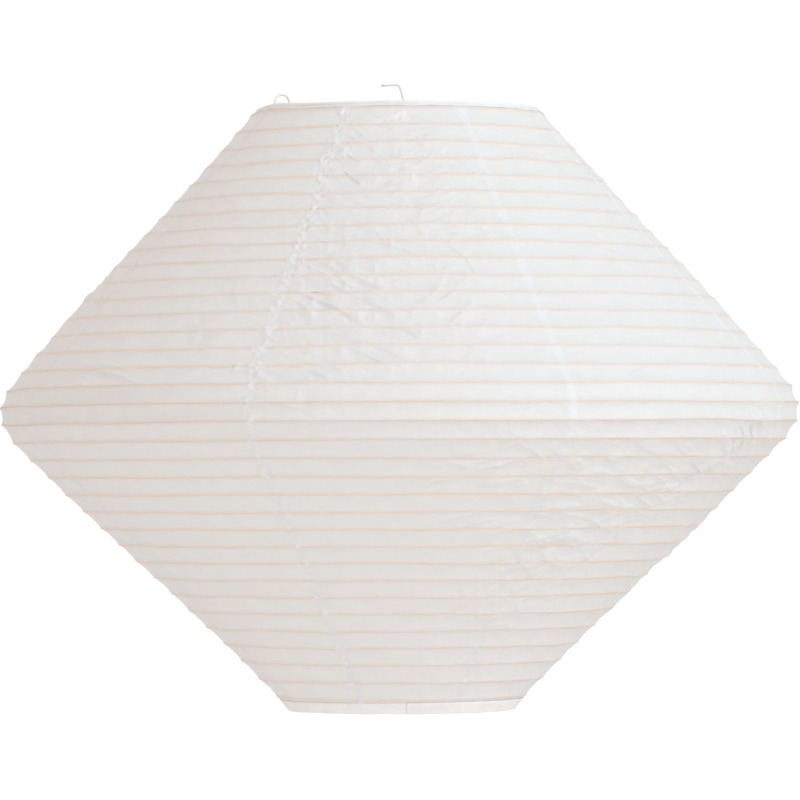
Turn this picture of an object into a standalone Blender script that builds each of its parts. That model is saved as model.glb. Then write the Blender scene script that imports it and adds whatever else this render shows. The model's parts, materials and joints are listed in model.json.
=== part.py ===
"""A double-cone paper lantern: eight paper gores on 35 bamboo hoops, hemmed over a steel wire rim at
each end, and held open from inside by a bent-wire expander that carries the lamp ring.

Frame: metres, +Z up. The origin is the centre of the lamp ring, on its upper face. Azimuth 0 is the
front, towards -Y, and azimuth grows towards +X.
"""

import math

import bmesh
import bpy
from mathutils import Vector

# The shade's outline, by the drop below its top edge: a straight upper cone, an arc round the belly and a
# straight lower cone. A flare is how much the radius changes per metre of drop. Each cone's radius is
# given at the top edge, as if the cone reached it.
SHADE_HEIGHT = 0.451
TOP_EDGE_Z = 0.030
BOTTOM_EDGE_Z = TOP_EDGE_Z - SHADE_HEIGHT
UPPER_RADIUS = 0.1062
UPPER_FLARE = 0.900
LOWER_RADIUS = 0.5441
LOWER_FLARE = 1.022
BELLY_FILLET = 0.0285

# Bamboo hoops, split to a square section that stands on its edge against the paper.
HOOP_COUNT = 35
HOOP_HALF = 0.0008
FIRST_HOOP_Z = TOP_EDGE_Z - 0.0053
LAST_HOOP_Z = BOTTOM_EDGE_Z + 0.0106

# Paper, cut in gores that meet at eight seams.
GORE_COUNT = 8
FIRST_SEAM = math.radians(-21)
SEAM_GAP = math.radians(0.25)
PAPER = 0.00025
GAP = 0.0003

# Rims: a wire ring inside a folded strip of paper.
WIRE = 0.0011
TOP_WIRE_RADIUS = 0.1049
BOTTOM_WIRE_RADIUS = 0.0840
HEM_REACH = 0.0017
HEM_CORNER = 0.0007
TOP_HEM_LAP = 0.0030
BOTTOM_HEM_LAP = 0.0055
TOP_WIRE_Z = TOP_EDGE_Z - HEM_REACH
BOTTOM_WIRE_Z = BOTTOM_EDGE_Z + HEM_REACH

# The hems' flaps, measured out from the wire's centre and towards the shade's edge: the end of the inner
# flap, and the two corners of the outer one, which lies along the paper.
TOP_INNER_FLAP = -0.0009
TOP_OUTER_FLAP = [(0.0031, 0.0003), (0.0061, -0.0029)]
BOTTOM_INNER_FLAP = -0.0015
BOTTOM_OUTER_FLAP = [(0.0031, -0.0015), (0.0072, -0.0053)]

# Expander: two bent wires under a flat lamp ring for an E27 lamp holder, and a hook that swivels in it.
EXPANDER_WIRE = 0.0010
LEG_RADIUS = 0.0795
LEG_AZIMUTHS = {"left": -65, "right": 115}
LEG_BEND = 0.005
FOOT_TAIL_RISE = 0.0010
FOOT_BEND_RISE = 0.0040
FOOT_NUB_RISE = 0.0058
FOOT_NUB_REACH = BOTTOM_WIRE_RADIUS + 0.0006
FOOT_TOP_RISE = 0.0096
SHOULDER_DROP = 0.0300
SADDLE_SIDE_RADIUS = TOP_WIRE_RADIUS - 0.0012
SADDLE_SIDE_DROP = 0.0110
SADDLE_DROP = 0.0042
LOOP_RADIUS = 0.006
LOOP_STEPS = 8
LOOP_OUTER_RADIUS = TOP_WIRE_RADIUS - 0.0043
LOOP_OUTER_DROP = 0.0035
LOOP_RISES = {"left": 0.0032, "right": -0.0012}
ARM_TOP_DROP = 0.0050
WELD_OUTER_RADIUS = 0.0360
WELD_INNER_RADIUS = 0.0240
LAMP_HOLE_RADIUS = 0.021
LAMP_RING_RADIUS = 0.031
LAMP_RING_THICK = 0.0012
PIVOT_RADIUS = 0.026
PIVOT_HOLE = 0.00145
HOOK_TAIL = 0.0045
HOOK_TAIL_GAP = 0.0004
HOOK_STEM_TOP = 0.0060
HOOK_ELBOW = (0.0065, 0, 0.0310)
HOOK_CORNER = (0.0018, 0, 0.0485)
HOOK_TIP = (-0.0118, 0, 0.0479)
HOOK_BEND = 0.003

# Facets round the shade, and round a wire.
TURN_STEPS = 32
RING_STEPS = 48
RIM_SIDES = 6
CORNER_STEPS = 3


def clear_scene():
    for obj in list(bpy.data.objects):
        bpy.data.objects.remove(obj)


def make_collection(name):
    found = bpy.data.collections.new(name)
    bpy.context.scene.collection.children.link(found)
    return found


def make_material(name, colour, roughness, metallic=0.0):
    material = bpy.data.materials.new(name)
    material.use_nodes = True
    shader = material.node_tree.nodes["Principled BSDF"]
    shader.inputs["Base Color"].default_value = (*colour, 1.0)
    shader.inputs["Roughness"].default_value = roughness
    shader.inputs["Metallic"].default_value = metallic
    return material


def place(obj, collection, material):
    """Puts an object in its collection, with one material."""
    for found in list(obj.users_collection):
        found.objects.unlink(obj)
    collection.objects.link(obj)
    obj.data.materials.clear()
    obj.data.materials.append(material)
    return obj


def turn_to(azimuth):
    """The rotation about Z that carries +X to this azimuth, in radians."""
    return azimuth - math.pi / 2


# ---- The outline of the shade ----


def hoop_z(index):
    return FIRST_HOOP_Z + (LAST_HOOP_Z - FIRST_HOOP_Z) * index / (HOOP_COUNT - 1)


def belly_arc():
    """The arc that rounds the belly: its centre's drop and radius, and the drops where it starts and ends."""
    upper_hypot = math.hypot(1, UPPER_FLARE)
    lower_hypot = math.hypot(1, LOWER_FLARE)
    between = LOWER_RADIUS - UPPER_RADIUS + BELLY_FILLET * (upper_hypot - lower_hypot)
    drop = between / (UPPER_FLARE + LOWER_FLARE)
    radius = UPPER_RADIUS + UPPER_FLARE * drop - BELLY_FILLET * upper_hypot
    start = drop - BELLY_FILLET * UPPER_FLARE / upper_hypot
    end = drop + BELLY_FILLET * LOWER_FLARE / lower_hypot
    return drop, radius, start, end


def paper_radius(drop):
    """The paper's outer radius at a drop below the top edge."""
    centre, radius, start, end = belly_arc()
    if drop < start:
        return UPPER_RADIUS + UPPER_FLARE * drop
    if drop > end:
        return LOWER_RADIUS - LOWER_FLARE * drop
    return radius + math.sqrt(BELLY_FILLET**2 - (drop - centre) ** 2)


# ---- Shapes ----


def profile_object(name, points, closed=False):
    """A line of (radius, z) points in the XZ plane at +X, ready to be turned about Z."""
    mesh = bpy.data.meshes.new(name)
    shape = bmesh.new()
    corners = [shape.verts.new((radius, 0, z)) for radius, z in points]
    for start, end in zip(corners, corners[1:]):
        shape.edges.new((start, end))
    if closed:
        shape.edges.new((corners[-1], corners[0]))
    shape.to_mesh(mesh)
    shape.free()
    return bpy.data.objects.new(name, mesh)


def turn_profile(obj, steps, angle=2 * math.pi):
    """Turns a profile about Z with a Screw modifier, closed up where it is a full turn."""
    screw = obj.modifiers.new("turn", "SCREW")
    screw.axis = "Z"
    screw.angle = angle
    screw.steps = steps
    screw.render_steps = steps
    screw.use_merge_vertices = True
    screw.merge_threshold = 0.00001


def thicken_inwards(obj, thickness):
    shell = obj.modifiers.new("thickness", "SOLIDIFY")
    shell.thickness = thickness
    shell.offset = -1
    shell.use_even_offset = True


def rounded(corners, bend):
    """The points of a path through these corners, each inner corner rounded to the bend radius."""
    corners = [Vector(corner) for corner in corners]
    points = [corners[0]]
    for before, corner, after in zip(corners, corners[1:], corners[2:]):
        into = (corner - before).normalized()
        out = (after - corner).normalized()
        turn = into.angle(out)
        shortest = min((corner - before).length, (after - corner).length)
        reach = min(bend * math.tan(turn / 2), shortest * 0.45)
        radius = reach / math.tan(turn / 2)
        side = (out - into * out.dot(into)).normalized()
        start = corner - into * reach
        for step in range(CORNER_STEPS + 1):
            swept = turn * step / CORNER_STEPS
            points.append(start + into * radius * math.sin(swept) + side * radius * (1 - math.cos(swept)))
    return points + [corners[-1]]


def wire_object(name, points, radius):
    """A round wire along a line of points, with closed ends."""
    curve = bpy.data.curves.new(name, "CURVE")
    curve.dimensions = "3D"
    curve.bevel_depth = radius
    curve.bevel_resolution = 2
    curve.use_fill_caps = True
    spline = curve.splines.new("POLY")
    spline.points.add(len(points) - 1)
    for place_at, point in zip(spline.points, points):
        place_at.co = (*point, 1.0)
    return bpy.data.objects.new(name, curve)


def ring_object(name, radius, z, thickness, sides):
    bpy.ops.mesh.primitive_torus_add(
        major_radius=radius,
        minor_radius=thickness,
        major_segments=TURN_STEPS,
        minor_segments=sides,
        location=(0, 0, z),
        rotation=(0, 0, turn_to(FIRST_SEAM)),
    )
    obj = bpy.context.object
    obj.name = name
    return obj


# ---- The shade ----


def build_hoops(collection, material):
    """Each hoop is a closed ring just inside the paper that is glued to it."""
    inset = (PAPER + GAP) * math.hypot(1, LOWER_FLARE)
    for index in range(HOOP_COUNT):
        z = hoop_z(index)
        radius = paper_radius(TOP_EDGE_Z - z) - inset - HOOP_HALF
        hoop = ring_object(f"bamboo_hoop_{index + 1:02d}", radius, z, HOOP_HALF, 4)
        place(hoop, collection, material)


def gore_profile():
    """The paper's outer face from under the top hem to under the bottom hem.

    It has a corner at each hoop of the belly, and at each end of the belly's arc."""
    start, end = belly_arc()[2:]
    hoops = [TOP_EDGE_Z - hoop_z(index) for index in range(HOOP_COUNT)]
    belly = [drop for drop in hoops if start < drop < end]
    drops = [TOP_HEM_LAP, start, *belly, end, SHADE_HEIGHT - BOTTOM_HEM_LAP]
    return [(paper_radius(drop), TOP_EDGE_Z - drop) for drop in drops]


def build_gores(collection, material):
    """Eight equal gores, each a sector of the shade's skin, with a hair's gap at the seams."""
    sector = 2 * math.pi / GORE_COUNT
    pattern = profile_object("paper_gore", gore_profile())
    for index in range(GORE_COUNT):
        gore = bpy.data.objects.new(f"paper_gore_{index + 1}", pattern.data)
        turn_profile(gore, TURN_STEPS // GORE_COUNT, sector - SEAM_GAP)
        thicken_inwards(gore, PAPER)
        gore.rotation_euler.z = turn_to(FIRST_SEAM + sector * index + SEAM_GAP / 2)
        place(gore, collection, material)
    bpy.data.objects.remove(pattern)


def hem_profile(wire_radius, wire_z, up, inner_flap, outer_flap):
    """A strip folded over a rim wire: up its inner side, across, and down its outer flap.

    Up is 1 for the top rim and -1 for the bottom one. The flaps' ends are measured from the wire."""
    across = [
        (-HEM_REACH, inner_flap),
        (-HEM_REACH, HEM_CORNER),
        (-HEM_CORNER, HEM_REACH),
        (HEM_CORNER, HEM_REACH),
        (HEM_REACH, HEM_CORNER),
        *outer_flap,
    ]
    points = [(wire_radius + out, wire_z + up * rise) for out, rise in across]
    return points if up > 0 else points[::-1]


def build_rims(collection, paper, steel):
    """The two wire rings and the strips folded over them."""
    place(ring_object("top_rim_wire", TOP_WIRE_RADIUS, TOP_WIRE_Z, WIRE, RIM_SIDES), collection, steel)
    place(
        ring_object("bottom_rim_wire", BOTTOM_WIRE_RADIUS, BOTTOM_WIRE_Z, WIRE, RIM_SIDES), collection, steel
    )
    hems = {
        "top_hem_strip": hem_profile(TOP_WIRE_RADIUS, TOP_WIRE_Z, 1, TOP_INNER_FLAP, TOP_OUTER_FLAP),
        "bottom_hem_strip": hem_profile(
            BOTTOM_WIRE_RADIUS, BOTTOM_WIRE_Z, -1, BOTTOM_INNER_FLAP, BOTTOM_OUTER_FLAP
        ),
    }
    for name, profile in hems.items():
        hem = profile_object(name, profile)
        turn_profile(hem, TURN_STEPS)
        thicken_inwards(hem, PAPER)
        hem.rotation_euler.z = turn_to(FIRST_SEAM)
        place(hem, collection, paper)


# ---- The expander ----


def foot_corners():
    """The tail inside the bottom rim, and the nub above it that presses it down."""
    return [
        (LEG_RADIUS, 0, BOTTOM_EDGE_Z + FOOT_TAIL_RISE),
        (LEG_RADIUS, 0, BOTTOM_EDGE_Z + FOOT_BEND_RISE),
        (FOOT_NUB_REACH, 0, BOTTOM_EDGE_Z + FOOT_NUB_RISE),
        (LEG_RADIUS, 0, BOTTOM_EDGE_Z + FOOT_TOP_RISE),
    ]


def shoulder_corners():
    """From the top of the leg out under the top rim, where the rim rests, and back inside it."""
    return [
        (LEG_RADIUS, 0, TOP_EDGE_Z - SHOULDER_DROP),
        (SADDLE_SIDE_RADIUS, 0, TOP_EDGE_Z - SADDLE_SIDE_DROP),
        (TOP_WIRE_RADIUS, 0, TOP_EDGE_Z - SADDLE_DROP),
        (LOOP_OUTER_RADIUS, 0, TOP_EDGE_Z - LOOP_OUTER_DROP),
    ]


def loop_points(rise):
    """The half turn beside the rim that leads the wire over into the arm. Its centre is this far above the
    shade's top edge."""
    centre_x = LOOP_OUTER_RADIUS - LOOP_RADIUS
    centre_z = TOP_EDGE_Z + rise
    angles = [math.pi * step / LOOP_STEPS for step in range(LOOP_STEPS + 1)]
    return [
        (centre_x + LOOP_RADIUS * math.cos(angle), 0, centre_z + LOOP_RADIUS * math.sin(angle))
        for angle in angles
    ]


def arm_corners(rise):
    """Down from the loop to the underside of the lamp ring, and along it to the weld."""
    loop_inner_radius = LOOP_OUTER_RADIUS - 2 * LOOP_RADIUS
    weld_z = -LAMP_RING_THICK - GAP - EXPANDER_WIRE
    return [
        (loop_inner_radius, 0, TOP_EDGE_Z + rise),
        (loop_inner_radius, 0, TOP_EDGE_Z - ARM_TOP_DROP),
        (WELD_OUTER_RADIUS, 0, weld_z),
        (WELD_INNER_RADIUS, 0, weld_z),
    ]


def build_expander_wires(collection, material):
    """Two wires half a turn apart, each a foot, a leg, a loop and an arm. The left loop stands higher."""
    for side, azimuth in LEG_AZIMUTHS.items():
        loop = loop_points(LOOP_RISES[side])
        leg = rounded([*foot_corners(), *shoulder_corners(), loop[0]], LEG_BEND)
        arm = rounded(arm_corners(LOOP_RISES[side]), LEG_BEND)
        wire = wire_object(f"expander_wire_{side}", [*leg[:-1], *loop, *arm[1:]], EXPANDER_WIRE)
        wire.rotation_euler.z = turn_to(math.radians(azimuth))
        place(wire, collection, material)


def build_lamp_ring(collection, cutters, material):
    """A flat steel ring with a hole for the lamp holder and a small one for the hook's pivot."""
    edge = [
        (LAMP_HOLE_RADIUS, -LAMP_RING_THICK),
        (LAMP_HOLE_RADIUS, 0),
        (LAMP_RING_RADIUS, 0),
        (LAMP_RING_RADIUS, -LAMP_RING_THICK),
    ]
    ring = profile_object("lamp_ring", edge, closed=True)
    turn_profile(ring, RING_STEPS)
    place(ring, collection, material)
    bpy.ops.mesh.primitive_cylinder_add(
        vertices=12, radius=PIVOT_HOLE, depth=5 * LAMP_RING_THICK, location=(PIVOT_RADIUS, 0, 0)
    )
    cutter = place(bpy.context.object, cutters, material)
    cutter.name = "pivot_hole_cutter"
    cutter.hide_render = True
    cutter.display_type = "WIRE"
    cut = ring.modifiers.new("pivot_hole", "BOOLEAN")
    cut.operation = "DIFFERENCE"
    cut.object = cutter


def build_hook(collection, material):
    """The hanging hook: a bent tail under the lamp ring, a pivot through it, and a crook over the axis."""
    tail_z = -LAMP_RING_THICK - HOOK_TAIL_GAP - EXPANDER_WIRE
    pivot = Vector((PIVOT_RADIUS, 0, 0))
    stem = rounded(
        [
            (PIVOT_RADIUS + HOOK_TAIL, 0, tail_z),
            (PIVOT_RADIUS, 0, tail_z),
            (PIVOT_RADIUS, 0, HOOK_STEM_TOP),
            HOOK_ELBOW,
            HOOK_CORNER,
            HOOK_TIP,
        ],
        HOOK_BEND,
    )
    hook = wire_object("hanging_hook", [point - pivot for point in stem], EXPANDER_WIRE)
    hook.location = pivot
    place(hook, collection, material)


def main():
    clear_scene()
    lantern = make_collection("paper_lantern")
    cutters = make_collection("cutters")
    paper = make_material("rice_paper", (0.86, 0.85, 0.83), 0.75)
    bamboo = make_material("bamboo", (0.80, 0.58, 0.40), 0.6)
    steel = make_material("white_painted_steel", (0.84, 0.85, 0.80), 0.35)
    build_hoops(lantern, bamboo)
    build_gores(lantern, paper)
    build_rims(lantern, paper, steel)
    build_expander_wires(lantern, steel)
    build_lamp_ring(lantern, cutters, steel)
    build_hook(lantern, steel)


main()
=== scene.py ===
"""The looks of the paper lantern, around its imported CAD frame.

Eight creased paper panels, 35 bamboo strips, folded paper hems and dipped white wire. Metres, +Z up.
Azimuth 0 is the front, towards -Y, and azimuth grows towards +X. A height on the shade is given in hoops:
0 is the top hoop, 34 the bottom one, and 0.5 is halfway from the first to the second.
"""

import json
import math

import bmesh
import bpy
import numpy as np
from mathutils import Matrix, Vector

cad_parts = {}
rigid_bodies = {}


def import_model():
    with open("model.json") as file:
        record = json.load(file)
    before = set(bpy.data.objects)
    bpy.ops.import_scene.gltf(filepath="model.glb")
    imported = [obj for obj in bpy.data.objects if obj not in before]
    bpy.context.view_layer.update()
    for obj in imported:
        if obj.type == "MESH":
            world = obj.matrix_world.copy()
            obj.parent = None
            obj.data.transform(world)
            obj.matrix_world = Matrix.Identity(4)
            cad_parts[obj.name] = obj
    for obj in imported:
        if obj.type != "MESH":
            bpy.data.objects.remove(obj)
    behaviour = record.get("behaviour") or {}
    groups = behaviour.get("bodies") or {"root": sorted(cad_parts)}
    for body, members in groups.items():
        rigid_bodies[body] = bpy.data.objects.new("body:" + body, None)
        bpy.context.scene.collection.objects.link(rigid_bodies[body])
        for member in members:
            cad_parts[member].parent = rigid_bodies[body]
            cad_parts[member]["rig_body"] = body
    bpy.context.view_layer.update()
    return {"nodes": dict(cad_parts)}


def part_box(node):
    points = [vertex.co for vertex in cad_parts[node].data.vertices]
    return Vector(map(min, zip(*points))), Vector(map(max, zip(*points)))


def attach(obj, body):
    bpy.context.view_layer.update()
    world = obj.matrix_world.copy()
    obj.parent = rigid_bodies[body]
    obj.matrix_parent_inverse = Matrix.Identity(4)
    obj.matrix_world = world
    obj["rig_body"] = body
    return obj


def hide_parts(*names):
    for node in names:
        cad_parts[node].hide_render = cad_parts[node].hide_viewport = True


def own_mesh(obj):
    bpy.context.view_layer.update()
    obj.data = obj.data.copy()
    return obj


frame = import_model()

MM = 0.001

# The shade. The flares are how fast its radius grows or shrinks with height, at each rim.
TOP_FLARE = 0.900
BOTTOM_FLARE = 1.022
PANELS = 8
PANEL_ANGLE = math.tau / PANELS
FIRST_SEAM = math.radians(-21.5)
SEAM_LAP = 6.5 * MM
SEAM_WANDER = 2.2 * MM
SHEET_LIFT = 0.10 * MM
PAPER_OVER_HOOP = 0.35 * MM
SCALLOP = 0.75 * MM
BELLY_SCALLOP = 0.6 * MM
BELLY_ROW = 17.5
RIDGE_HEIGHT = 0.38 * MM
RIDGE_WIDTH = 0.9 * MM
FRONT_COLUMNS = 232
BACK_COLUMNS = 150
FRONT_PANELS = (0, 1)
# The paper's rows from one hoop to the next, as parts of the way, closer together near the hoops.
ROWS_BETWEEN_HOOPS = (
    0, 0.045, 0.09, 0.145, 0.21, 0.28, 0.35, 0.42,
    0.5, 0.58, 0.65, 0.72, 0.79, 0.855, 0.91, 0.955,
)
TOP_OVERRUN = -0.18
BOTTOM_OVERRUN = 0.4

# How sharp and how broad the creases in FOLDS are, for a depth of one.
FOLD_RIDGE = 3.2
FOLD_RIDGE_WIDTH = 0.22
FOLD_SWELL = 1.3

# The hems, the azimuths where their strips join, and how far the left expander wire lifts the top rim.
HEM_REACH = 1.7 * MM
HEM_THICK = 0.22 * MM
TOP_HEM_JOIN = math.radians(150)
BOTTOM_HEM_JOIN = math.radians(2.2)
BOTTOM_HEM_LAP = 0.1
RIM_LIFT = 1.7 * MM
RIM_LIFT_AZIMUTH = math.radians(-58)
RIM_LIFT_SPREAD = 0.24

# The hoops.
HOOP_THICK = 0.9 * MM
HOOP_TALL = 1.5 * MM
HOOP_INSET = 0.85 * MM
HOOP_LAP = 30 * MM
HOOP_STEPS = 288
WAVE = 0.5 * MM
UNEVEN_PITCH = 1.3 * MM
UNEVEN_ROWS = 19.5
HIGHEST_ROW = 11.5

# Rounding a wire thins it, so it is swelled first.
WIRE_SWELL = 0.10 * MM
WELD_DISTANCE = 0.01 * MM

# The camera and the stage.
CAMERA_DISTANCE = 4.3
CAMERA_HEIGHT = -0.2402
CAMERA_X = 0.0005
CAMERA_LENS = 257.6
CAMERA_PITCH = math.radians(0.687)
CAMERA_ROLL = math.radians(-0.40)
FLOOR_Z = -4.2
FLOOR_GREY = 0.93

# The world's even light, and the soft lights: azimuth and rise in degrees, distance, size, power and colour.
WORLD_LIGHT = (1.0, 0.942, 0.905, 1.0)
WORLD_STRENGTH = 0.876
BACKGROUND_STRENGTH = 1.05
LIGHTS = {
    "key": (50, 30, 2.6, 0.8, 23.3, (0.66, 0.866, 1.0)),
    "low_fill": (12, -32, 1.6, 0.4, 3.0, (0.85, 0.94, 1.0)),
}


# ---- Noise ----

LATTICE = 64
LATTICE_VALUES = np.random.default_rng(11).uniform(-1, 1, (LATTICE, LATTICE, LATTICE))


def noise(x, y, z):
    """Smooth noise from -1 to 1 that varies over about one unit. x, y and z are arrays or numbers."""
    x, y, z = np.broadcast_arrays(np.asarray(x, float), y, z)
    total = np.zeros(x.shape)
    cells, parts = [], []
    for value in (x, y, z):
        cell = np.floor(value)
        part = value - cell
        cells.append(cell.astype(int))
        parts.append(part**3 * (part * (part * 6 - 15) + 10))
    for corner in range(8):
        weight = np.ones(x.shape)
        index = []
        for axis in range(3):
            far = (corner >> axis) & 1
            weight = weight * (parts[axis] if far else 1 - parts[axis])
            index.append((cells[axis] + far) % LATTICE)
        total += weight * LATTICE_VALUES[tuple(index)]
    return total


def crease(x, y, z):
    """Sharp ridges with smooth slopes between them, from about -0.7 to 0.3."""
    return 0.3 - np.abs(noise(x, y, z)) * 2


def ring_wave(azimuth, row, seed):
    """A wave round the shade that closes on itself, different for each row and of about unit size."""
    total = np.zeros(np.broadcast(azimuth, row).shape)
    for turns in range(3, 19):
        phase = noise(row * 0.83, turns * 3.1, seed) * math.tau
        size = noise(row * 0.61, turns * 5.7, seed + 0.5) * 1.9 / turns**0.7
        total += size * np.sin(turns * azimuth + phase)
    return total


# ---- The shade's outline ----


def read_hoops():
    """The height and outer radius of each hoop in the frame, from the top down."""
    names = sorted(name for name in frame["nodes"] if name.startswith("bamboo_hoop_"))
    boxes = [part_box(name) for name in names]
    heights = np.array([(low.z + high.z) / 2 for low, high in boxes])
    radii = np.array([(high.x - low.x) / 2 for low, high in boxes])
    return names, heights, radii


HOOP_NAMES, HOOP_Z, HOOP_R = read_hoops()
HOOPS = len(HOOP_NAMES)
PITCH = HOOP_Z[0] - HOOP_Z[1]

# One imagined hoop beyond each end gives the slope of the paper's last edge.
OUTLINE_Z = np.concatenate([[HOOP_Z[0] + PITCH], HOOP_Z, [HOOP_Z[-1] - PITCH]])
OUTLINE_R = PAPER_OVER_HOOP + np.concatenate(
    [[HOOP_R[0] - TOP_FLARE * PITCH], HOOP_R, [HOOP_R[-1] - BOTTOM_FLARE * PITCH]]
)
SLOPE_R = np.gradient(OUTLINE_R)
SLOPE_Z = np.gradient(OUTLINE_Z)
HALF_ROW = np.hypot(np.diff(OUTLINE_R), np.diff(OUTLINE_Z))
OUTLINE_LENGTH = np.concatenate([[0], np.cumsum(HALF_ROW)])


def along_outline(values, row):
    """values, given for each outline point, read at a height counted in hoops."""
    return np.interp(row + 1, np.arange(len(values)), values)


def wrapped(angle):
    return (angle + math.pi) % math.tau - math.pi


def turned(azimuth, radius, height):
    """Points at these azimuths, radii and heights, in an array with x, y and z last."""
    return np.stack([np.sin(azimuth) * radius, -np.cos(azimuth) * radius, height], axis=-1)


# How strongly each seam is cockled, above and below the belly, from the front left one round to the right.
SEAM_PUCKERS = (
    (1.0, 0.45), (0.3, 0.25), (0.5, 0.3), (0.8, 0.4),
    (0.5, 0.5), (0.9, 0.4), (0.6, 0.3), (0.6, 0.3),
)

# Creases pressed into the paper. Each row has the azimuth and hoop of its middle, its reach
# across and along the shade in mm, the angle the creases run at in degrees, seen from outside and rising to
# the right, and their spacing and depth in mm.
FOLDS = (
    (-9, 11.5, 34, 52, -32, 9, 0.75),
    (-2, 13.5, 44, 34, -24, 8, 0.60),
    (-14, 15.5, 36, 22, -14, 8, 0.65),
    (8, 12.0, 26, 40, 48, 8, 0.50),
    (-12, 4.0, 22, 50, -42, 8, 0.50),
    (4, 2.5, 26, 30, 35, 7, 0.45),
    (13, 8.5, 22, 40, -55, 7, 0.35),
    (19, 19.5, 34, 40, -28, 9, 0.45),
    (16, 26.0, 30, 60, 40, 9, 0.40),
    (-8, 24.0, 40, 40, 20, 10, 0.30),
    (-30, 12.5, 26, 50, 20, 9, 0.45),
    (-42, 6.0, 24, 40, -30, 9, 0.25),
    (-46, 15.5, 44, 34, -10, 8, 0.45),
    (31, 20.0, 56, 26, -17, 8, 0.75),
    (38, 22.5, 52, 30, -20, 9, 0.65),
    (33, 25.5, 40, 34, -32, 9, 0.60),
    (54, 20.0, 40, 26, -24, 8, 0.70),
    (62, 18.5, 30, 30, -38, 9, 0.60),
    (14, 20.5, 40, 26, 14, 8, 0.70),
    (12, 24.0, 40, 34, 20, 9, 0.55),
    (34, 14.0, 30, 50, 24, 9, 0.30),
    (50, 9.0, 30, 50, -18, 10, 0.25),
    (36, 24.5, 60, 40, 12, 6, 0.50),
    (50, 21.5, 50, 30, 10, 6, 0.50),
    (26, 29.0, 50, 40, 14, 6, 0.40),
    (6, 5.5, 40, 40, 28, 6, 0.35),
    (-2, 9.0, 44, 40, -20, 6, 0.40),
)

# Small tufts of torn paper away from the seams: the azimuth in degrees, the height in hoops and the size
# in mm.
TUFTS = ((1.9, 0.45, 6.5), (4.1, 4.1, 4.5), (-17, 2.6, 4.0), (-24, 15.0, 5.0))
BACK_FOLDS_PER_PANEL = 7


def all_folds():
    """The folds of the three front panels, and others like them round the back."""
    rng = np.random.default_rng(5)
    folds = list(FOLDS)
    panel_angle = math.degrees(PANEL_ANGLE)
    front_end = math.degrees(FIRST_SEAM) + 2 * panel_angle
    for panel in range(PANELS - 3):
        for _ in range(BACK_FOLDS_PER_PANEL):
            azimuth = front_end + panel_angle * (panel + rng.uniform(0.05, 0.95))
            row = rng.uniform(2, 30)
            reach = rng.uniform(22, 50, 2)
            angle = rng.uniform(-50, 50)
            folds.append((azimuth, row, *reach, angle, rng.uniform(7.5, 10), rng.uniform(0.3, 0.7)))
    return folds


def fold_relief(azimuth, radius, length):
    """How far the creases lift the paper, in metres."""
    total = np.zeros(azimuth.shape)
    for number, fold in enumerate(all_folds()):
        middle, middle_row, across, along, angle, spacing, depth = fold
        x = wrapped(azimuth - math.radians(middle)) * radius / MM
        y = (along_outline(OUTLINE_LENGTH, middle_row) - length) / MM
        window = np.exp(-((x / across) ** 2) - (y / along) ** 2)
        near = window > 0.01
        turn = math.radians(angle)
        bend = noise(x[near] / 40, y[near] / 40, number + 0.3) * 6
        run = x[near] * math.cos(turn) + y[near] * math.sin(turn)
        step = y[near] * math.cos(turn) - x[near] * math.sin(turn) + bend
        level = noise(run / (spacing * 4.5), step / spacing, number * 1.7)
        lasting = np.clip(noise(run / 17, step / 9, number + 0.6) * 2 + 0.7, 0, 1)
        broad = noise(run / (spacing * 2.6), step / (spacing * 1.2), number + 9.1)
        ridge = np.exp(-((level / FOLD_RIDGE_WIDTH) ** 2)) * lasting
        folded = FOLD_RIDGE * ridge + FOLD_SWELL * broad
        total[near] += window[near] * folded * depth * MM
    return total


def seam_offset(seam, length):
    """How far a seam strays from its straight line, in metres."""
    y = length / MM
    stray = noise(y / 38, 0.5, seam % PANELS + 0.5) + 0.5 * noise(y / 11, 7.5, seam % PANELS + 3.5)
    return SEAM_WANDER * stray


def seam_relief(azimuth, row, radius, length):
    """Puckers beside each seam, where the glued edges have cockled, and how torn and tufted it is there."""
    total, tufted = np.zeros(azimuth.shape), np.zeros(azimuth.shape)
    for seam, (above, below) in enumerate(SEAM_PUCKERS):
        strength = above + (below - above) * np.clip((row - BELLY_ROW) / 4 + 0.5, 0, 1)
        line = seam_offset(seam, length) + SEAM_LAP / 2
        x = wrapped(azimuth - FIRST_SEAM - seam * PANEL_ANGLE) * radius / MM - line / MM
        near = np.abs(x) < 45
        x, y, strength = x[near], length[near] / MM, strength[near]
        at_hoop = np.abs(row[near] - np.round(row[near]))
        ragged = 0.75 + 0.5 * noise(y / 23, 0.5, seam + 40)
        tufts = noise(x / 3.2, y / 4.4, seam + 7) * np.exp(-((x / 6) ** 2)) * 0.9
        rays = noise(x / 16, y / 4.5 + x * 0.05, seam + 21) * np.exp(-((x / 22) ** 2)) * 0.45
        total[near] += (tufts + rays) * ragged * strength * MM
        torn = noise(x / 2.6, y / 3.1, seam + 63) + 0.75 - np.abs(x) / 7 - at_hoop * 2.2
        tufted[near] = np.maximum(tufted[near], np.clip(torn * strength * 2, 0, 1))
    for number, (middle, middle_row, size) in enumerate(TUFTS):
        x = wrapped(azimuth - math.radians(middle)) * radius / MM
        y = (along_outline(OUTLINE_LENGTH, middle_row) - length) / MM
        window = np.exp(-((x / size) ** 2) - (y / size) ** 2)
        near = window > 0.02
        total[near] += window[near] * noise(x[near] / 3, y[near] / 3.6, number + 80.5) * 1.0 * MM
        torn = window[near] + 0.6 * noise(x[near] / 2.6, y[near] / 3.1, number + 90.5) - 0.45
        tufted[near] = np.maximum(tufted[near], np.clip(torn * 1.6, 0, 0.8))
    return total, tufted


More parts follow.
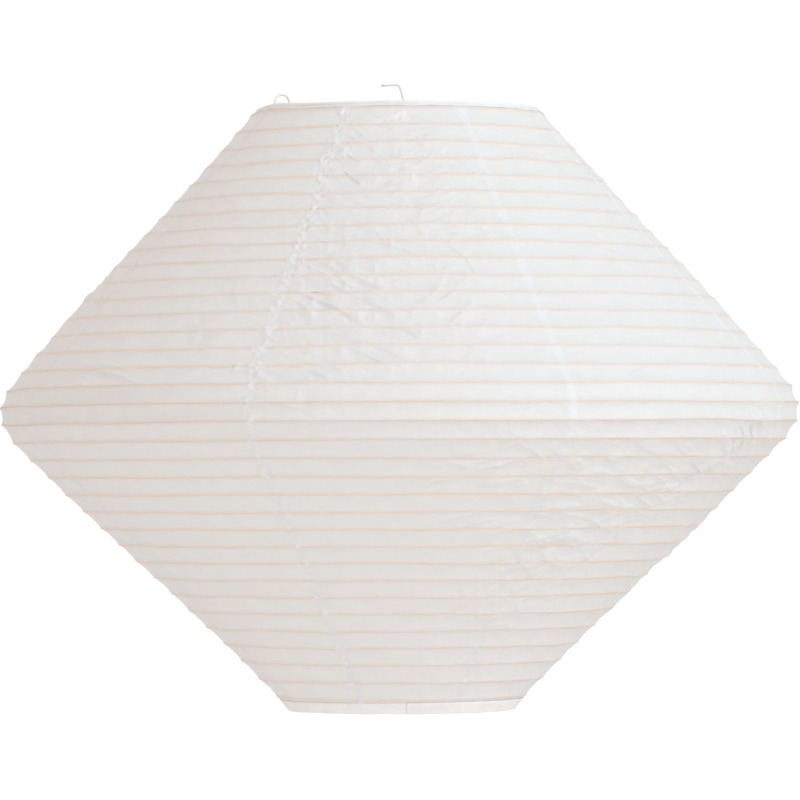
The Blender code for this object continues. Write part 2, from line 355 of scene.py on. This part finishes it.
def crumple_relief(azimuth, radius, height, row):
    """Fine creasing all over, stronger on the front panel's upper half."""
    x = np.sin(azimuth) * radius / MM
    y = -np.cos(azimuth) * radius / MM
    z = height / MM
    patchy = 0.55 + 0.45 * noise(x / 60, y / 60, z / 60)
    front = np.exp(-((wrapped(azimuth - math.radians(-6)) / 0.42) ** 2) - ((row - 10) / 8) ** 2)
    small = crease(x / 11, y / 11, z / 11) * 0.40 + crease(x / 6 + 9, y / 6, z / 6) * 0.16
    return small * patchy * (0.5 + 2.2 * front) * MM


def rim_hump(azimuth):
    """The top rim rises where the left expander wire carries it."""
    return RIM_LIFT * np.exp(-((wrapped(azimuth - RIM_LIFT_AZIMUTH) / RIM_LIFT_SPREAD) ** 2))


def hoop_offset(azimuth, row):
    """How far a hoop stands above its true level, in metres. Bamboo is never quite straight."""
    calm = np.clip(row / 2, 0.15, 1) * np.clip((HOOPS - 1 - row) / 2, 0.3, 1)
    uneven = UNEVEN_PITCH * np.cos(math.tau * (row - HIGHEST_ROW) / UNEVEN_ROWS)
    return calm * (WAVE * ring_wave(azimuth, row, 3.3) + uneven)


def shade_points(azimuth, row, lift):
    """Points on the paper's outer face, and how tufted it is there. The arguments have one shape."""
    upper = np.floor(row)
    part = row - upper
    radius = along_outline(OUTLINE_R, row)
    height = along_outline(OUTLINE_Z, row)
    length = along_outline(OUTLINE_LENGTH, row)
    offset = hoop_offset(azimuth, upper) * (1 - part) + hoop_offset(azimuth, upper + 1) * part
    height = height + offset + rim_hump(azimuth) * np.clip(1 - row, 0, 1)
    normal_r = -along_outline(SLOPE_Z, row)
    normal_z = along_outline(SLOPE_R, row)
    size = np.hypot(normal_r, normal_z)
    normal_r, normal_z = normal_r / size, normal_z / size
    from_hoop = np.minimum(part, 1 - part)
    inside = (row > 0) & (row < HOOPS - 1)
    slack = 1 + 0.35 * noise(azimuth * 2.2, row * 0.9, 2.5)
    depth = SCALLOP + BELLY_SCALLOP * np.exp(-(((row - BELLY_ROW) / 2.5) ** 2))
    hollow = depth * slack * (4 * part * (1 - part)) * inside
    ridge = RIDGE_HEIGHT * np.exp(-((from_hoop * PITCH * 1.37 / RIDGE_WIDTH) ** 2))
    puckers, tufted = seam_relief(azimuth, row, radius, length)
    relief = fold_relief(azimuth, radius, length) + crumple_relief(azimuth, radius, height, row)
    held = 0.2 + 0.8 * np.clip(from_hoop / 0.16, 0, 1)
    edge = np.clip((row - TOP_OVERRUN) / 0.5, 0, 1) * np.clip((HOOPS - 1 + BOTTOM_OVERRUN - row) / 0.5, 0, 1)
    out = ridge - hollow + (relief * held + puckers) * edge + lift
    radius = radius + normal_r * out
    height = height + normal_z * out
    return turned(azimuth, radius, height), tufted


# ---- Mesh helpers ----


def grid_object(name, points, uv_maps, closed=False):
    """A sheet of quads through points[row, column], with UV maps of the same shape. The right-hand side of
    rising columns and rows faces out. closed joins the last row to the first."""
    rows, columns = points.shape[:2]
    index = np.arange(rows * columns).reshape(rows, columns)
    if closed:
        index = np.vstack([index, index[:1]])
    quads = np.stack([index[:-1, :-1], index[1:, :-1], index[1:, 1:], index[:-1, 1:]], axis=-1).reshape(-1, 4)
    mesh = bpy.data.meshes.new(name)
    mesh.vertices.add(rows * columns)
    mesh.vertices.foreach_set("co", points.reshape(-1).astype(np.float32))
    mesh.loops.add(quads.size)
    mesh.loops.foreach_set("vertex_index", quads.reshape(-1).astype(np.int32))
    mesh.polygons.add(len(quads))
    mesh.polygons.foreach_set("loop_start", np.arange(0, quads.size, 4, dtype=np.int32))
    mesh.update(calc_edges=True)
    mesh.validate()
    for label, coordinates in uv_maps.items():
        layer = mesh.uv_layers.new(name=label)
        flat = coordinates.reshape(-1, 2)[quads.reshape(-1)]
        layer.data.foreach_set("uv", flat.reshape(-1).astype(np.float32))
    mesh.shade_smooth()
    obj = bpy.data.objects.new(name, mesh)
    bpy.context.scene.collection.objects.link(obj)
    return obj


def set_material(obj, *materials):
    obj.data.materials.clear()
    for material in materials:
        obj.data.materials.append(material)


# ---- Material helpers ----


class Nodes:
    """A material's node tree, with short names for the nodes used here."""

    def __init__(self, name):
        self.material = bpy.data.materials.new(name)
        self.material.use_nodes = True
        self.tree = self.material.node_tree
        self.shader = self.tree.nodes["Principled BSDF"]
        self.output = self.tree.nodes["Material Output"]

    def put(self, socket, value):
        if isinstance(value, bpy.types.NodeSocket):
            self.tree.links.new(value, socket)
        elif value is not None:
            socket.default_value = value

    def math(self, operation, first, second=None):
        node = self.tree.nodes.new("ShaderNodeMath")
        node.operation = operation
        self.put(node.inputs[0], first)
        self.put(node.inputs[1], second)
        return node.outputs[0]

    def ramp(self, value, low, high, to_low=0.0, to_high=1.0):
        """value taken smoothly from one range to another, and held beyond its ends."""
        node = self.tree.nodes.new("ShaderNodeMapRange")
        node.interpolation_type = "SMOOTHSTEP"
        self.put(node.inputs["Value"], value)
        self.put(node.inputs["From Min"], low)
        self.put(node.inputs["From Max"], high)
        self.put(node.inputs["To Min"], to_low)
        self.put(node.inputs["To Max"], to_high)
        return node.outputs["Result"]

    def mix(self, share, first, second):
        node = self.tree.nodes.new("ShaderNodeMix")
        node.data_type = "RGBA"
        self.put(node.inputs[0], share)
        for socket, colour in ((node.inputs[6], first), (node.inputs[7], second)):
            self.put(socket, (*colour, 1.0) if isinstance(colour, tuple) else colour)
        return node.outputs[2]

    def uv(self, label):
        node = self.tree.nodes.new("ShaderNodeUVMap")
        node.uv_map = label
        return node.outputs[0]

    def place(self):
        return self.tree.nodes.new("ShaderNodeTexCoord").outputs["Object"]

    def parts(self, vector):
        node = self.tree.nodes.new("ShaderNodeSeparateXYZ")
        self.put(node.inputs[0], vector)
        return node.outputs

    def stretched(self, vector, scale, turn=0.0):
        """The vector turned in its XY plane, then scaled."""
        node = self.tree.nodes.new("ShaderNodeVectorRotate")
        node.rotation_type = "Z_AXIS"
        self.put(node.inputs["Vector"], vector)
        node.inputs["Angle"].default_value = turn
        scaled = self.tree.nodes.new("ShaderNodeMapping")
        self.put(scaled.inputs["Vector"], node.outputs[0])
        scaled.inputs["Scale"].default_value = scale
        return scaled.outputs[0]

    def noise(self, vector, scale, detail=3.0, roughness=0.5, distortion=0.0):
        node = self.tree.nodes.new("ShaderNodeTexNoise")
        self.put(node.inputs["Vector"], vector)
        node.inputs["Scale"].default_value = scale
        node.inputs["Detail"].default_value = detail
        node.inputs["Roughness"].default_value = roughness
        node.inputs["Distortion"].default_value = distortion
        return node.outputs["Fac"]

    def bump(self, height, distance, strength=1.0):
        node = self.tree.nodes.new("ShaderNodeBump")
        self.put(node.inputs["Height"], height)
        node.inputs["Distance"].default_value = distance
        node.inputs["Strength"].default_value = strength
        self.tree.links.new(node.outputs[0], self.shader.inputs["Normal"])
        return node.outputs[0]

    def glow_through(self, colour, share, normal=None):
        """Lets light through the sheet as well as off it."""
        through = self.tree.nodes.new("ShaderNodeBsdfTranslucent")
        both = self.tree.nodes.new("ShaderNodeMixShader")
        self.put(through.inputs["Color"], colour)
        if normal is not None:
            self.put(through.inputs["Normal"], normal)
        both.inputs[0].default_value = share
        self.tree.links.new(self.shader.outputs[0], both.inputs[1])
        self.tree.links.new(through.outputs[0], both.inputs[2])
        self.tree.links.new(both.outputs[0], self.output.inputs["Surface"])


PAPER_WHITE = (0.900, 0.906, 0.908)
PAPER_CLOUD = (0.882, 0.885, 0.885)
# The whitest paper, for fibres in the sheet and the hem, doubled paper at the seams and torn tufts. It is set
# bright enough that the seams and tufts also carry a painted highlight.
PAPER_WHITEST_AND_HIGHLIGHT = (0.968, 0.974, 0.976)
HOOP_STAIN = (0.925, 0.828, 0.750)


def fibres(nodes, sheet):
    """Long fibres crossing in a sheet, from 0 to 1. sheet is a map in metres."""
    one = nodes.noise(nodes.stretched(sheet, (190, 1500, 1), 0.5), 1.0, 3, 0.6, 0.6)
    other = nodes.noise(nodes.stretched(sheet, (1300, 150, 1), 0.3), 1.0, 3, 0.6, 0.6)
    most = nodes.math("MAXIMUM", one, other)
    return nodes.ramp(most, 0.56, 0.78)


def paper_material():
    """Thin rice paper: cloudy, fibrous, stained where bamboo shows through, and white where two sheets lap
    and at torn tufts, partly the paper's own colour and partly a painted highlight.
    """
    nodes = Nodes("rice_paper_panel")
    sheet = nodes.uv("sheet")
    _, row, _ = nodes.parts(nodes.uv("hoops"))
    past_seam, tufted, _ = nodes.parts(nodes.uv("seam"))
    cloud = nodes.noise(sheet, 55, 6, 0.62)
    thread = fibres(nodes, sheet)
    wander = nodes.math("MULTIPLY", nodes.math("SUBTRACT", nodes.noise(sheet, 140, 3), 0.5), 0.03)
    from_hoop = nodes.math("PINGPONG", nodes.math("ADD", row, wander), 0.5)
    stain = nodes.ramp(from_hoop, 0.044, 0.092, 0.95, 0.0)
    faint = nodes.ramp(from_hoop, 0.05, 0.17, 0.09, 0.0)
    lap_band_and_highlight = nodes.math(
        "MULTIPLY",
        nodes.ramp(past_seam, -0.0006, 0.0006),
        nodes.ramp(past_seam, SEAM_LAP - 0.001, SEAM_LAP + 0.001, 1.0, 0.0),
    )
    # The lap band's white, part doubled paper and part painted highlight, fades below the belly, where the
    # shade faces down, away from the light.
    lap_band_and_highlight = nodes.math("MULTIPLY", lap_band_and_highlight, nodes.ramp(row, BELLY_ROW - 1, BELLY_ROW + 4, 1.0, 0.3))
    lap_band_and_highlight = nodes.math("MULTIPLY", lap_band_and_highlight, nodes.ramp(nodes.noise(sheet, 60, 3), 0.35, 0.6, 0.4, 1.0))
    uneven = nodes.ramp(nodes.noise(sheet, 24, 3), 0.3, 0.7, 0.7, 1.1)
    stain = nodes.math("MULTIPLY", nodes.math("MAXIMUM", stain, faint), uneven)
    hidden = nodes.math("MAXIMUM", tufted, nodes.math("MULTIPLY", lap_band_and_highlight, 0.5))
    stain = nodes.math("MULTIPLY", stain, nodes.math("SUBTRACT", 1.0, hidden))
    base = nodes.mix(nodes.ramp(cloud, 0.3, 0.7), PAPER_CLOUD, PAPER_WHITE)
    base = nodes.mix(nodes.math("MULTIPLY", thread, 0.25), base, PAPER_WHITEST_AND_HIGHLIGHT)
    # Laps and tufts turn white: partly the doubled and torn paper's own colour, partly a painted highlight
    # where they face the light.
    whitening_and_highlight = nodes.math("MAXIMUM", tufted, nodes.math("MULTIPLY", lap_band_and_highlight, 0.55))
    base = nodes.mix(whitening_and_highlight, base, PAPER_WHITEST_AND_HIGHLIGHT)
    speck = nodes.ramp(nodes.noise(sheet, 330, 1), 0.80, 0.84)
    speck = nodes.math("MULTIPLY", speck, nodes.ramp(from_hoop, 0.03, 0.07, 0.9, 0.0))
    colour = nodes.mix(speck, nodes.mix(stain, base, HOOP_STAIN), (0.45, 0.30, 0.20))
    nodes.put(nodes.shader.inputs["Base Color"], colour)
    nodes.put(nodes.shader.inputs["Roughness"], nodes.ramp(cloud, 0.2, 0.8, 0.62, 0.78))
    nodes.shader.inputs["Specular IOR Level"].default_value = 0.35
    crinkle = nodes.noise(sheet, 260, 4, 0.6, 0.4)
    height = nodes.math("ADD", nodes.math("MULTIPLY", thread, 0.2), crinkle)
    tuft = nodes.math("MULTIPLY", nodes.noise(sheet, 420, 2, 0.6), nodes.math("MULTIPLY", tufted, 2.0))
    normal = nodes.bump(nodes.math("ADD", height, tuft), 0.0003)
    nodes.glow_through(colour, 0.30, normal)
    return nodes.material


def hem_material():
    """The same paper folded double and glued down over the wire, so that little light comes through. It is
    coloured greyer than the single sheet, as painted shade on the hem's band.
    """
    nodes = Nodes("rice_paper_hem")
    sheet = nodes.uv("sheet")
    cloud = nodes.noise(sheet, 70, 5, 0.6)
    thread = fibres(nodes, sheet)
    # Painted shade: the hem's paper is coloured greyer than the single sheet, for the shade on its band.
    base = nodes.mix(nodes.ramp(cloud, 0.3, 0.7), (0.815, 0.808, 0.800), (0.870, 0.866, 0.860))
    colour = nodes.mix(nodes.math("MULTIPLY", thread, 0.4), base, PAPER_WHITEST_AND_HIGHLIGHT)
    nodes.put(nodes.shader.inputs["Base Color"], colour)
    nodes.put(nodes.shader.inputs["Roughness"], nodes.ramp(cloud, 0.2, 0.8, 0.6, 0.78))
    nodes.shader.inputs["Specular IOR Level"].default_value = 0.35
    crinkle = nodes.noise(nodes.stretched(sheet, (1, 0.35, 1)), 420, 4, 0.6)
    nodes.bump(crinkle, 0.0005)
    return nodes.material


def bamboo_material():
    """Split bamboo: long straight grain, paler and darker strands, and a darker joint here and there."""
    nodes = Nodes("split_bamboo")
    strip = nodes.uv("strip")
    along, _, _ = nodes.parts(strip)
    grain = nodes.noise(nodes.stretched(strip, (14, 5200, 1)), 1.0, 5, 0.65)
    strands = nodes.noise(nodes.stretched(strip, (3, 1500, 1)), 1.0, 2)
    colour = nodes.mix(nodes.ramp(grain, 0.3, 0.7), (0.70, 0.50, 0.31), (0.86, 0.69, 0.47))
    colour = nodes.mix(nodes.ramp(strands, 0.4, 0.75, 0.0, 0.45), colour, (0.62, 0.41, 0.23))
    joint = nodes.ramp(nodes.math("PINGPONG", along, 0.14), 0.0008, 0.0035, 0.7, 0.0)
    colour = nodes.mix(joint, colour, (0.42, 0.27, 0.15))
    nodes.put(nodes.shader.inputs["Base Color"], colour)
    nodes.put(nodes.shader.inputs["Roughness"], nodes.ramp(grain, 0.3, 0.7, 0.42, 0.62))
    nodes.bump(nodes.math("SUBTRACT", grain, joint), 0.0002)
    return nodes.material


def wire_material():
    """Steel wire dipped in white enamel: slightly greenish, with runs and thin spots."""
    nodes = Nodes("white_dipped_wire")
    place = nodes.place()
    runs = nodes.noise(place, 420, 4, 0.6)
    thin = nodes.noise(place, 90, 3, 0.5)
    colour = nodes.mix(nodes.ramp(thin, 0.35, 0.75), (0.90, 0.905, 0.855), (0.85, 0.858, 0.785))
    nodes.put(nodes.shader.inputs["Base Color"], colour)
    nodes.put(nodes.shader.inputs["Roughness"], nodes.ramp(runs, 0.3, 0.7, 0.24, 0.42))
    nodes.bump(runs, 0.0001)
    return nodes.material


def cut_material():
    """The bare grey end where a wire was cut."""
    nodes = Nodes("cut_wire_end")
    scratch = nodes.noise(nodes.stretched(nodes.place(), (1, 1, 9)), 900, 3)
    colour = nodes.mix(nodes.ramp(scratch, 0.3, 0.7), (0.16, 0.15, 0.13), (0.34, 0.32, 0.29))
    nodes.put(nodes.shader.inputs["Base Color"], colour)
    nodes.put(nodes.shader.inputs["Roughness"], nodes.ramp(scratch, 0.3, 0.7, 0.4, 0.6))
    nodes.shader.inputs["Metallic"].default_value = 0.8
    return nodes.material


# ---- The pieces ----


def paper_panel(number, material):
    """One paper panel. Its right-hand edge laps over the next panel's left-hand edge."""
    rows = [hoop + part for hoop in range(HOOPS - 1) for part in ROWS_BETWEEN_HOOPS]
    rows = [TOP_OVERRUN, TOP_OVERRUN / 2, *rows, HOOPS - 1]
    rows += [HOOPS - 1 + BOTTOM_OVERRUN * part for part in (0.1, 0.25, 0.5, 0.75, 1.0)]
    columns = FRONT_COLUMNS if number in FRONT_PANELS else BACK_COLUMNS
    row = np.repeat(np.array(rows)[:, None], columns, axis=1)
    radius = along_outline(OUTLINE_R, row)
    length = along_outline(OUTLINE_LENGTH, row)
    edge = SEAM_LAP + 0.9 * MM * noise(length / (7 * MM), number * 2.3, 5.5)
    start = FIRST_SEAM + number * PANEL_ANGLE + seam_offset(number, length) / radius
    seam = FIRST_SEAM + (number + 1) * PANEL_ANGLE + seam_offset(number + 1, length) / radius
    share = np.linspace(0, 1, columns)[None, :]
    azimuth = start + share * (seam + edge / radius - start)
    past_seam = (azimuth - seam) * radius
    lift = SHEET_LIFT * np.clip((past_seam + 3 * MM) / (3 * MM), 0, 1) * 1.2
    points, tufted = shade_points(azimuth, row, lift)
    arc = (azimuth - FIRST_SEAM - number * PANEL_ANGLE) * radius
    maps = {
        "sheet": np.stack([arc + number * 0.31, length + number * 0.17], axis=-1),
        "hoops": np.stack([arc, row], axis=-1),
        "seam": np.stack([past_seam, tufted], axis=-1),
    }
    panel = grid_object(f"paper_panel_{number + 1}", points, maps)
    set_material(panel, material)
    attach(panel, "expander")
    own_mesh(panel)
    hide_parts(f"paper_gore_{number + 1}")


def bamboo_strip(number, rng, material):
    """One hoop: a strip bent round, its end glued inside its start."""
    node = HOOP_NAMES[number]
    body = frame["nodes"][node]["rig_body"]
    outer = HOOP_R[number] - HOOP_INSET
    lap = HOOP_LAP / outer
    start = rng.uniform(math.radians(100), math.radians(260))
    azimuth = start + np.linspace(0, math.tau + lap, HOOP_STEPS)
    inwards = np.clip((azimuth - start - math.tau + lap) / lap, 0, 1)
    inwards = (HOOP_THICK + 0.1 * MM) * inwards**2 * (3 - 2 * inwards)
    sides = []
    bevel = 0.22 * MM
    half = HOOP_TALL / 2
    section = [
        (0, half - bevel), (-bevel, half), (bevel - HOOP_THICK, half), (-HOOP_THICK, half - bevel),
        (-HOOP_THICK, bevel - half), (bevel - HOOP_THICK, -half), (-bevel, -half), (0, bevel - half),
    ]
    height = HOOP_Z[number] + hoop_offset(azimuth, float(number))
    rough = 1 + 0.08 * noise(azimuth * 14, number * 1.9, 8.5)
    for inset, rise in section:
        radius = outer - inwards + inset * rough
        sides.append(turned(azimuth, radius, height + rise * rough))
    points = np.stack(sides)
    along = np.repeat((azimuth * outer + rng.uniform(0, 3))[None, :], len(section), axis=0)
    around = np.repeat((np.arange(len(section)) * 0.55 * MM)[:, None], HOOP_STEPS, axis=1)
    maps = {"strip": np.stack([along, around], axis=-1)}
    strip = grid_object(f"bamboo_strip_{number + 1:02d}", points, maps, closed=True)
    cap_ends(strip)
    set_material(strip, material)
    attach(strip, body)
    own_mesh(strip)
    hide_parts(node)


def cap_ends(obj):
    """Fills the open ends of a swept strip, and sets its faces pointing out."""
    shape = bmesh.new()
    shape.from_mesh(obj.data)
    bmesh.ops.holes_fill(shape, edges=[edge for edge in shape.edges if edge.is_boundary], sides=0)
    bmesh.ops.recalc_face_normals(shape, faces=shape.faces)
    for face in shape.faces:
        face.smooth = len(face.verts) == 4
    shape.to_mesh(obj.data)
    shape.free()
    obj.data.set_sharp_from_angle(angle=math.radians(50))


def hem_strip(name, node, body, profile, first, last, material, seed, ripple, hump=False):
    """A strip of paper folded over a rim wire. profile is a line of (radius, height) pairs in metres."""
    steps = max(8, int(360 * (last - first) / math.tau))
    azimuth = np.linspace(first, last, steps)[None, :]
    profile = np.array(profile)
    radius = np.repeat(profile[:, :1], steps, axis=1)
    height = np.repeat(profile[:, 1:], steps, axis=1)
    line = np.concatenate([[0], np.cumsum(np.hypot(*np.diff(profile, axis=0).T))])[:, None]
    arc = azimuth * profile[0, 0]
    loose = np.clip(line / line[-1] * 2 - 0.8, 0, 1)
    fine = noise(arc / (5 * MM), line / (4 * MM), seed)
    puckers = fine + 0.6 * noise(arc / (13 * MM), line / (9 * MM), seed + 3)
    radius = radius + puckers * ripple * (0.35 + loose)
    height = height + noise(arc / (11 * MM), 0.5, seed + 9) * 0.35 * MM * loose
    if hump:
        height = height + rim_hump(azimuth)
    points = turned(azimuth, radius, height)
    sheet = np.stack(np.broadcast_arrays(arc + seed, line), axis=-1)
    hem = grid_object(name, points, {"sheet": sheet})
    shell = hem.modifiers.new("thickness", "SOLIDIFY")
    shell.thickness = HEM_THICK
    shell.offset = -1
    set_material(hem, material)
    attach(hem, body)
    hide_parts(node)


def arc_points(centre, radius, start, end, steps):
    """Points (radius, height) on an arc, its angles in degrees from outwards, rising."""
    angles = np.radians(np.linspace(start, end, steps))
    return [(centre[0] + radius * math.cos(a), centre[1] + radius * math.sin(a)) for a in angles]


def rim_centre(node):
    """The radius and height of a rim wire's centre line, and its own radius."""
    low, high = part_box(node)
    thickness = (high.z - low.z) / 2
    return (high.x - low.x) / 2 - thickness, (low.z + high.z) / 2, thickness


def top_hem(material):
    """Bulges round the wire, dips in under it, and flares out over the paper to the first hoop."""
    centre = rim_centre("top_rim_wire")[:2]
    end_row = -0.1
    end = (along_outline(OUTLINE_R, end_row) + 0.45 * MM, along_outline(OUTLINE_Z, end_row))
    fold = arc_points(centre, HEM_REACH, 180, -25, 11)
    inner = [(centre[0] - HEM_REACH, centre[1] - drop) for drop in (2.4 * MM, 1.2 * MM)]
    dip = [(centre[0] + 1.7 * MM, centre[1] - 1.3 * MM), (centre[0] + 2.6 * MM, centre[1] - 2.0 * MM)]
    flap = [(dip[-1][0] + (end[0] - dip[-1][0]) * part, dip[-1][1] + (end[1] - dip[-1][1]) * part)
            for part in (0.5, 1.0)]
    hem_strip(
        "top_hem", "top_hem_strip", "expander", inner + fold + dip + flap,
        TOP_HEM_JOIN, TOP_HEM_JOIN + math.tau, material, 4.0, 0.16 * MM, True,
    )


def bottom_hems(material):
    """Two strips meet at the front, just right of the middle, and at the back."""
    centre = rim_centre("bottom_rim_wire")[:2]
    end_row = HOOPS - 1 + 0.17
    for side, first, stand, seed in (("right", 0.0, 0.3 * MM, 14.0), ("left", math.pi, 0.0, 31.0)):
        fold = arc_points(centre, HEM_REACH + stand * 0.5, 180, 345, 9)
        inner = [(centre[0] - HEM_REACH, centre[1] + rise) for rise in (2.2 * MM, 1.0 * MM)]
        start = fold[-1]
        end = (along_outline(OUTLINE_R, end_row) + 0.3 * MM + stand, along_outline(OUTLINE_Z, end_row))
        skirt = [(start[0] + (end[0] - start[0]) * part, start[1] + (end[1] - start[1]) * part)
                 for part in (0.25, 0.5, 0.75, 1.0)]
        profile = (inner + fold + skirt)[::-1]
        join = BOTTOM_HEM_JOIN + first
        hem_strip(
            f"bottom_hem_{side}", "bottom_hem_strip", "bottom_rim", profile,
            join, join + math.pi + BOTTOM_HEM_LAP, material, seed, 0.14 * MM,
        )


def rim_wire(name, node, body, material, hump=False):
    """A rim wire as a smooth ring in place of the faceted one."""
    ring, level, thickness = rim_centre(node)
    around = np.radians(np.arange(0, 360, 30))[:, None]
    azimuth = np.linspace(0, math.tau, 241)[None, :]
    radius = ring + thickness * np.cos(around) + azimuth * 0
    height = level + thickness * np.sin(around) + (rim_hump(azimuth) if hump else azimuth * 0)
    points = turned(azimuth, radius, height)
    maps = {"strip": np.stack(np.broadcast_arrays(azimuth * ring, around * thickness), axis=-1)}
    wire = grid_object(name, points, maps, True)
    shape = bmesh.new()
    shape.from_mesh(wire.data)
    bmesh.ops.remove_doubles(shape, verts=shape.verts, dist=WELD_DISTANCE)
    bmesh.ops.recalc_face_normals(shape, faces=shape.faces)
    shape.to_mesh(wire.data)
    shape.free()
    set_material(wire, material)
    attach(wire, body)
    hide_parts(node)


def smooth_wire(name, node, coat, cut):
    """A bent wire, copied from its faceted solid and rounded, with square-cut bare ends."""
    source = frame["nodes"][node]
    mesh = source.data.copy()
    shape = bmesh.new()
    shape.from_mesh(mesh)
    bmesh.ops.remove_doubles(shape, verts=shape.verts, dist=WELD_DISTANCE)
    bmesh.ops.dissolve_limit(shape, angle_limit=math.radians(2), verts=shape.verts, edges=shape.edges)
    shape.normal_update()
    outwards = [vertex.normal.copy() for vertex in shape.verts]
    for vertex, normal in zip(shape.verts, outwards):
        vertex.co += normal * WIRE_SWELL
    creases = shape.edges.layers.float.new("crease_edge")
    for face in shape.faces:
        face.smooth = True
        face.material_index = 1 if len(face.verts) > 5 else 0
    for edge in shape.edges:
        if any(face.material_index for face in edge.link_faces):
            edge[creases] = 1.0
    shape.to_mesh(mesh)
    shape.free()
    wire = bpy.data.objects.new(name, mesh)
    bpy.context.scene.collection.objects.link(wire)
    finer = wire.modifiers.new("rounded", "SUBSURF")
    finer.levels = 2
    finer.render_levels = 2
    set_material(wire, coat, cut)
    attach(wire, source["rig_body"])
    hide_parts(node)


def lamp_ring(material):
    """The flat ring keeps its solid, with its sharp edges eased."""
    source = frame["nodes"]["lamp_ring"]
    mesh = source.data.copy()
    shape = bmesh.new()
    shape.from_mesh(mesh)
    bmesh.ops.remove_doubles(shape, verts=shape.verts, dist=WELD_DISTANCE)
    bmesh.ops.dissolve_limit(shape, angle_limit=math.radians(1), verts=shape.verts, edges=shape.edges)
    shape.to_mesh(mesh)
    shape.free()
    ring = bpy.data.objects.new("lamp_ring_plate", mesh)
    bpy.context.scene.collection.objects.link(ring)
    bevel = ring.modifiers.new("eased edges", "BEVEL")
    bevel.width = 0.25 * MM
    bevel.segments = 3
    bevel.angle_limit = math.radians(40)
    mesh.shade_smooth()
    mesh.set_sharp_from_angle(angle=math.radians(40))
    set_material(ring, material)
    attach(ring, source["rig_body"])
    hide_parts("lamp_ring")


# ---- The stage ----


def plain_material(name, colour, roughness):
    nodes = Nodes(name)
    nodes.shader.inputs["Base Color"].default_value = (*colour, 1.0)
    nodes.shader.inputs["Roughness"].default_value = roughness
    return nodes.material


def make_floor():
    bpy.ops.mesh.primitive_circle_add(vertices=96, radius=7, fill_type="NGON", location=(0, 0, FLOOR_Z))
    floor = bpy.context.object
    floor.name = "studio_floor"
    set_material(floor, plain_material("studio_floor", (FLOOR_GREY,) * 3, 0.8))


def soft_light(name, azimuth, rise, distance, size, power, colour):
    """A square soft light that looks at the lantern's middle."""
    middle = Vector((0, 0, (HOOP_Z[0] + HOOP_Z[-1]) / 2))
    turn, lift = math.radians(azimuth), math.radians(rise)
    away = Vector((math.sin(turn) * math.cos(lift), -math.cos(turn) * math.cos(lift), math.sin(lift)))
    lamp = bpy.data.lights.new(name, "AREA")
    lamp.shape = "SQUARE"
    lamp.size = size
    lamp.energy = power
    lamp.color = colour
    holder = bpy.data.objects.new(name, lamp)
    holder.location = middle + away * distance
    holder.rotation_euler = (-away).to_track_quat("-Z", "Y").to_euler()
    bpy.context.scene.collection.objects.link(holder)


def make_world():
    """Even warm light from all round. What the camera sees behind the lantern is plain white."""
    world = bpy.data.worlds.new("studio")
    bpy.context.scene.world = world
    world.use_nodes = True
    tree = world.node_tree
    tree.nodes.clear()
    light = tree.nodes.new("ShaderNodeBackground")
    light.inputs["Color"].default_value = WORLD_LIGHT
    light.inputs["Strength"].default_value = WORLD_STRENGTH
    white = tree.nodes.new("ShaderNodeBackground")
    white.inputs["Color"].default_value = (1.0, 1.0, 1.0, 1.0)
    white.inputs["Strength"].default_value = BACKGROUND_STRENGTH
    path = tree.nodes.new("ShaderNodeLightPath")
    both = tree.nodes.new("ShaderNodeMixShader")
    output = tree.nodes.new("ShaderNodeOutputWorld")
    tree.links.new(path.outputs["Is Camera Ray"], both.inputs[0])
    tree.links.new(light.outputs[0], both.inputs[1])
    tree.links.new(white.outputs[0], both.inputs[2])
    tree.links.new(both.outputs[0], output.inputs["Surface"])


def make_camera():
    lens = bpy.data.cameras.new("camera")
    lens.sensor_width = 36
    lens.lens = CAMERA_LENS
    camera = bpy.data.objects.new("camera", lens)
    camera.location = (CAMERA_X, -CAMERA_DISTANCE, CAMERA_HEIGHT)
    camera.rotation_mode = "XYZ"
    look = Vector((0, math.cos(CAMERA_PITCH), math.sin(CAMERA_PITCH)))
    turn = look.to_track_quat("-Z", "Y").to_matrix()
    camera.rotation_euler = (turn @ Matrix.Rotation(CAMERA_ROLL, 3, "Z")).to_euler()
    bpy.context.scene.collection.objects.link(camera)
    bpy.context.scene.camera = camera


def main():
    make_camera()
    bpy.context.scene.view_settings.view_transform = "Standard"
    paper, hem = paper_material(), hem_material()
    bamboo, coat, cut = bamboo_material(), wire_material(), cut_material()
    for number in range(PANELS):
        paper_panel(number, paper)
    rng = np.random.default_rng(29)
    for number in range(HOOPS):
        bamboo_strip(number, rng, bamboo)
    top_hem(hem)
    bottom_hems(hem)
    rim_wire("top_rim_ring", "top_rim_wire", "expander", coat, True)
    rim_wire("bottom_rim_ring", "bottom_rim_wire", "bottom_rim", coat)
    smooth_wire("left_expander_wire", "expander_wire_left", coat, cut)
    smooth_wire("right_expander_wire", "expander_wire_right", coat, cut)
    smooth_wire("wire_hook", "hanging_hook", coat, cut)
    lamp_ring(coat)
    make_floor()
    make_world()
    for name, setting in LIGHTS.items():
        soft_light(name, *setting)


main()
